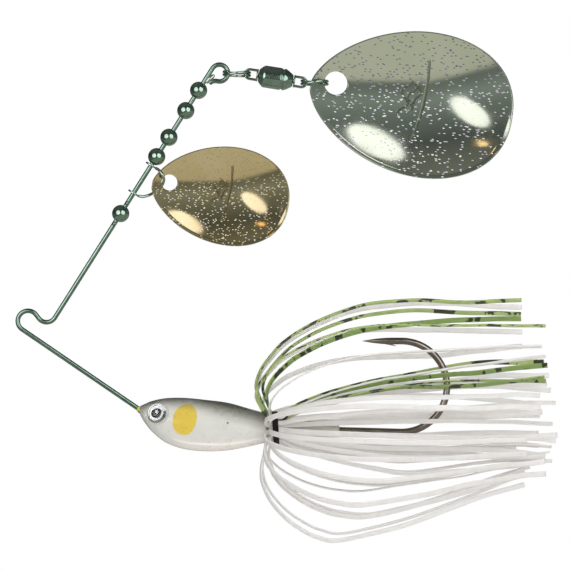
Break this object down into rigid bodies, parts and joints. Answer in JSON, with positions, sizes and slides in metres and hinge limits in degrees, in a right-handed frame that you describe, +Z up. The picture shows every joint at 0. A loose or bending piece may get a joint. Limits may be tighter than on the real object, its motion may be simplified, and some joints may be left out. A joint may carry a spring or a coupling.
{
  "type": "spinnerbait",
  "caption": "Fishing lure: a bent wire with a weighted minnow head, hook and strand skirt below, and a beaded arm above that carries two cupped spinning blades.",
  "frame": {"origin": "centre of the open bend (line tie) in the wire, where the fishing line is tied", "axes": "+X from the nose towards the tail, +Z up towards the blade arm, +Y to the lure's left side; the wire form lies in the XZ plane"},
  "size_m": [0.1023, 0.0399, 0.0967],
  "materials": {
    "black_nickel_wire": "polished",
    "black_nickel_bead": "polished",
    "black_nickel_swivel": "polished",
    "black_nickel_ring": "polished",
    "clevis_wire": "polished",
    "ball_steel": "polished",
    "silver_blade": "polished",
    "gold_blade": "polished",
    "hook_bronze": "satin",
    "head_paint": "gloss",
    "eye_foil": "satin",
    "eye_dome": "gloss",
    "collar_rubber": "matte",
    "strand_green": "satin",
    "strand_white": "satin"
  },
  "bodies": {
    "frame": {"wire_arm": "black_nickel_wire", "stop_bead": "black_nickel_bead", "head": "head_paint", "hook": "hook_bronze", "eye_foil_left": "eye_foil", "eye_foil_right": "eye_foil", "eye_dome_left": "eye_dome", "eye_dome_right": "eye_dome", "skirt_collar": "collar_rubber", "strand_inner_1": "strand_green", "strand_inner_2": "strand_green", "strand_inner_3": "strand_white", "strand_inner_4": "strand_white", "strand_inner_5": "strand_white", "strand_inner_6": "strand_white", "strand_inner_7": "strand_white", "strand_inner_8": "strand_white", "strand_inner_9": "strand_white", "strand_inner_10": "strand_white", "strand_inner_11": "strand_white", "strand_inner_12": "strand_white", "strand_outer_1": "strand_green", "strand_outer_2": "strand_white", "strand_outer_3": "strand_white", "strand_outer_4": "strand_white", "strand_outer_5": "strand_white", "strand_outer_6": "strand_white", "strand_outer_7": "strand_white", "strand_outer_8": "strand_white", "strand_outer_9": "strand_white", "strand_outer_10": "strand_white", "strand_outer_11": "strand_white", "strand_outer_12": "strand_green"},
    "bead_1": {"bead_1": "black_nickel_bead"},
    "bead_2": {"bead_2": "black_nickel_bead"},
    "bead_3": {"bead_3": "black_nickel_bead"},
    "bead_4": {"bead_4": "black_nickel_bead"},
    "clevis": {"clevis": "clevis_wire"},
    "gold_blade": {"gold_blade": "gold_blade"},
    "ring_front": {"split_ring_front": "black_nickel_ring"},
    "swivel_body": {"swivel_barrel": "black_nickel_swivel", "swivel_front_eye": "black_nickel_swivel", "swivel_ball_1": "ball_steel", "swivel_ball_2": "ball_steel", "swivel_ball_3": "ball_steel", "swivel_ball_4": "ball_steel", "swivel_ball_5": "ball_steel", "swivel_ball_6": "ball_steel"},
    "swivel_eye": {"swivel_rear_eye": "black_nickel_swivel"},
    "ring_rear": {"split_ring_rear": "black_nickel_ring"},
    "silver_blade": {"silver_blade": "silver_blade"}
  },
  "joints": [
    {"name": "bead_1_slide", "type": "slide", "parent": "frame", "child": "bead_1", "axis": [0.5344, 0, 0.8453], "range_m": [-0.00113, 0.0002]},
    {"name": "bead_2_slide", "type": "slide", "parent": "frame", "child": "bead_2", "axis": [0.5344, 0, 0.8453], "range_m": [-0.00258, 0.00113]},
    {"name": "bead_3_slide", "type": "slide", "parent": "frame", "child": "bead_3", "axis": [0.5344, 0, 0.8453], "range_m": [-0.00093, 0.00258]},
    {"name": "bead_4_slide", "type": "slide", "parent": "frame", "child": "bead_4", "axis": [0.5344, 0, 0.8453], "range_m": [0, 0.00093]},
    {"name": "clevis_spin", "type": "hinge", "parent": "frame", "child": "clevis", "pos_m": [0.02173, 0, 0.02692], "axis": [0.5344, 0, 0.8453], "continuous": true},
    {"name": "gold_blade_swing", "type": "hinge", "parent": "clevis", "child": "gold_blade", "pos_m": [0.0257, 0, 0.0264], "axis": [0, 1, 0], "range_deg": [-5, 40]},
    {"name": "front_ring_swing", "type": "hinge", "parent": "frame", "child": "ring_front", "pos_m": [0.03638, 0, 0.04711], "axis": [0, 1, 0], "range_deg": [-100, 25]},
    {"name": "swivel_swing", "type": "hinge", "parent": "ring_front", "child": "swivel_body", "pos_m": [0.04217, 0, 0.04691], "axis": [0, 1, 0], "range_deg": [-60, 30]},
    {"name": "swivel_spin", "type": "hinge", "parent": "swivel_body", "child": "swivel_eye", "pos_m": [0.04676, 0, 0.04618], "axis": [0.9874, 0, -0.1582], "continuous": true},
    {"name": "rear_ring_swing", "type": "hinge", "parent": "swivel_eye", "child": "ring_rear", "pos_m": [0.05198, 0, 0.04534], "axis": [0, 1, 0], "range_deg": [-60, 40]},
    {"name": "silver_blade_swing", "type": "hinge", "parent": "ring_rear", "child": "silver_blade", "pos_m": [0.05692, 0, 0.04527], "axis": [0, 1, 0], "range_deg": [-35, 35]}
  ]
}
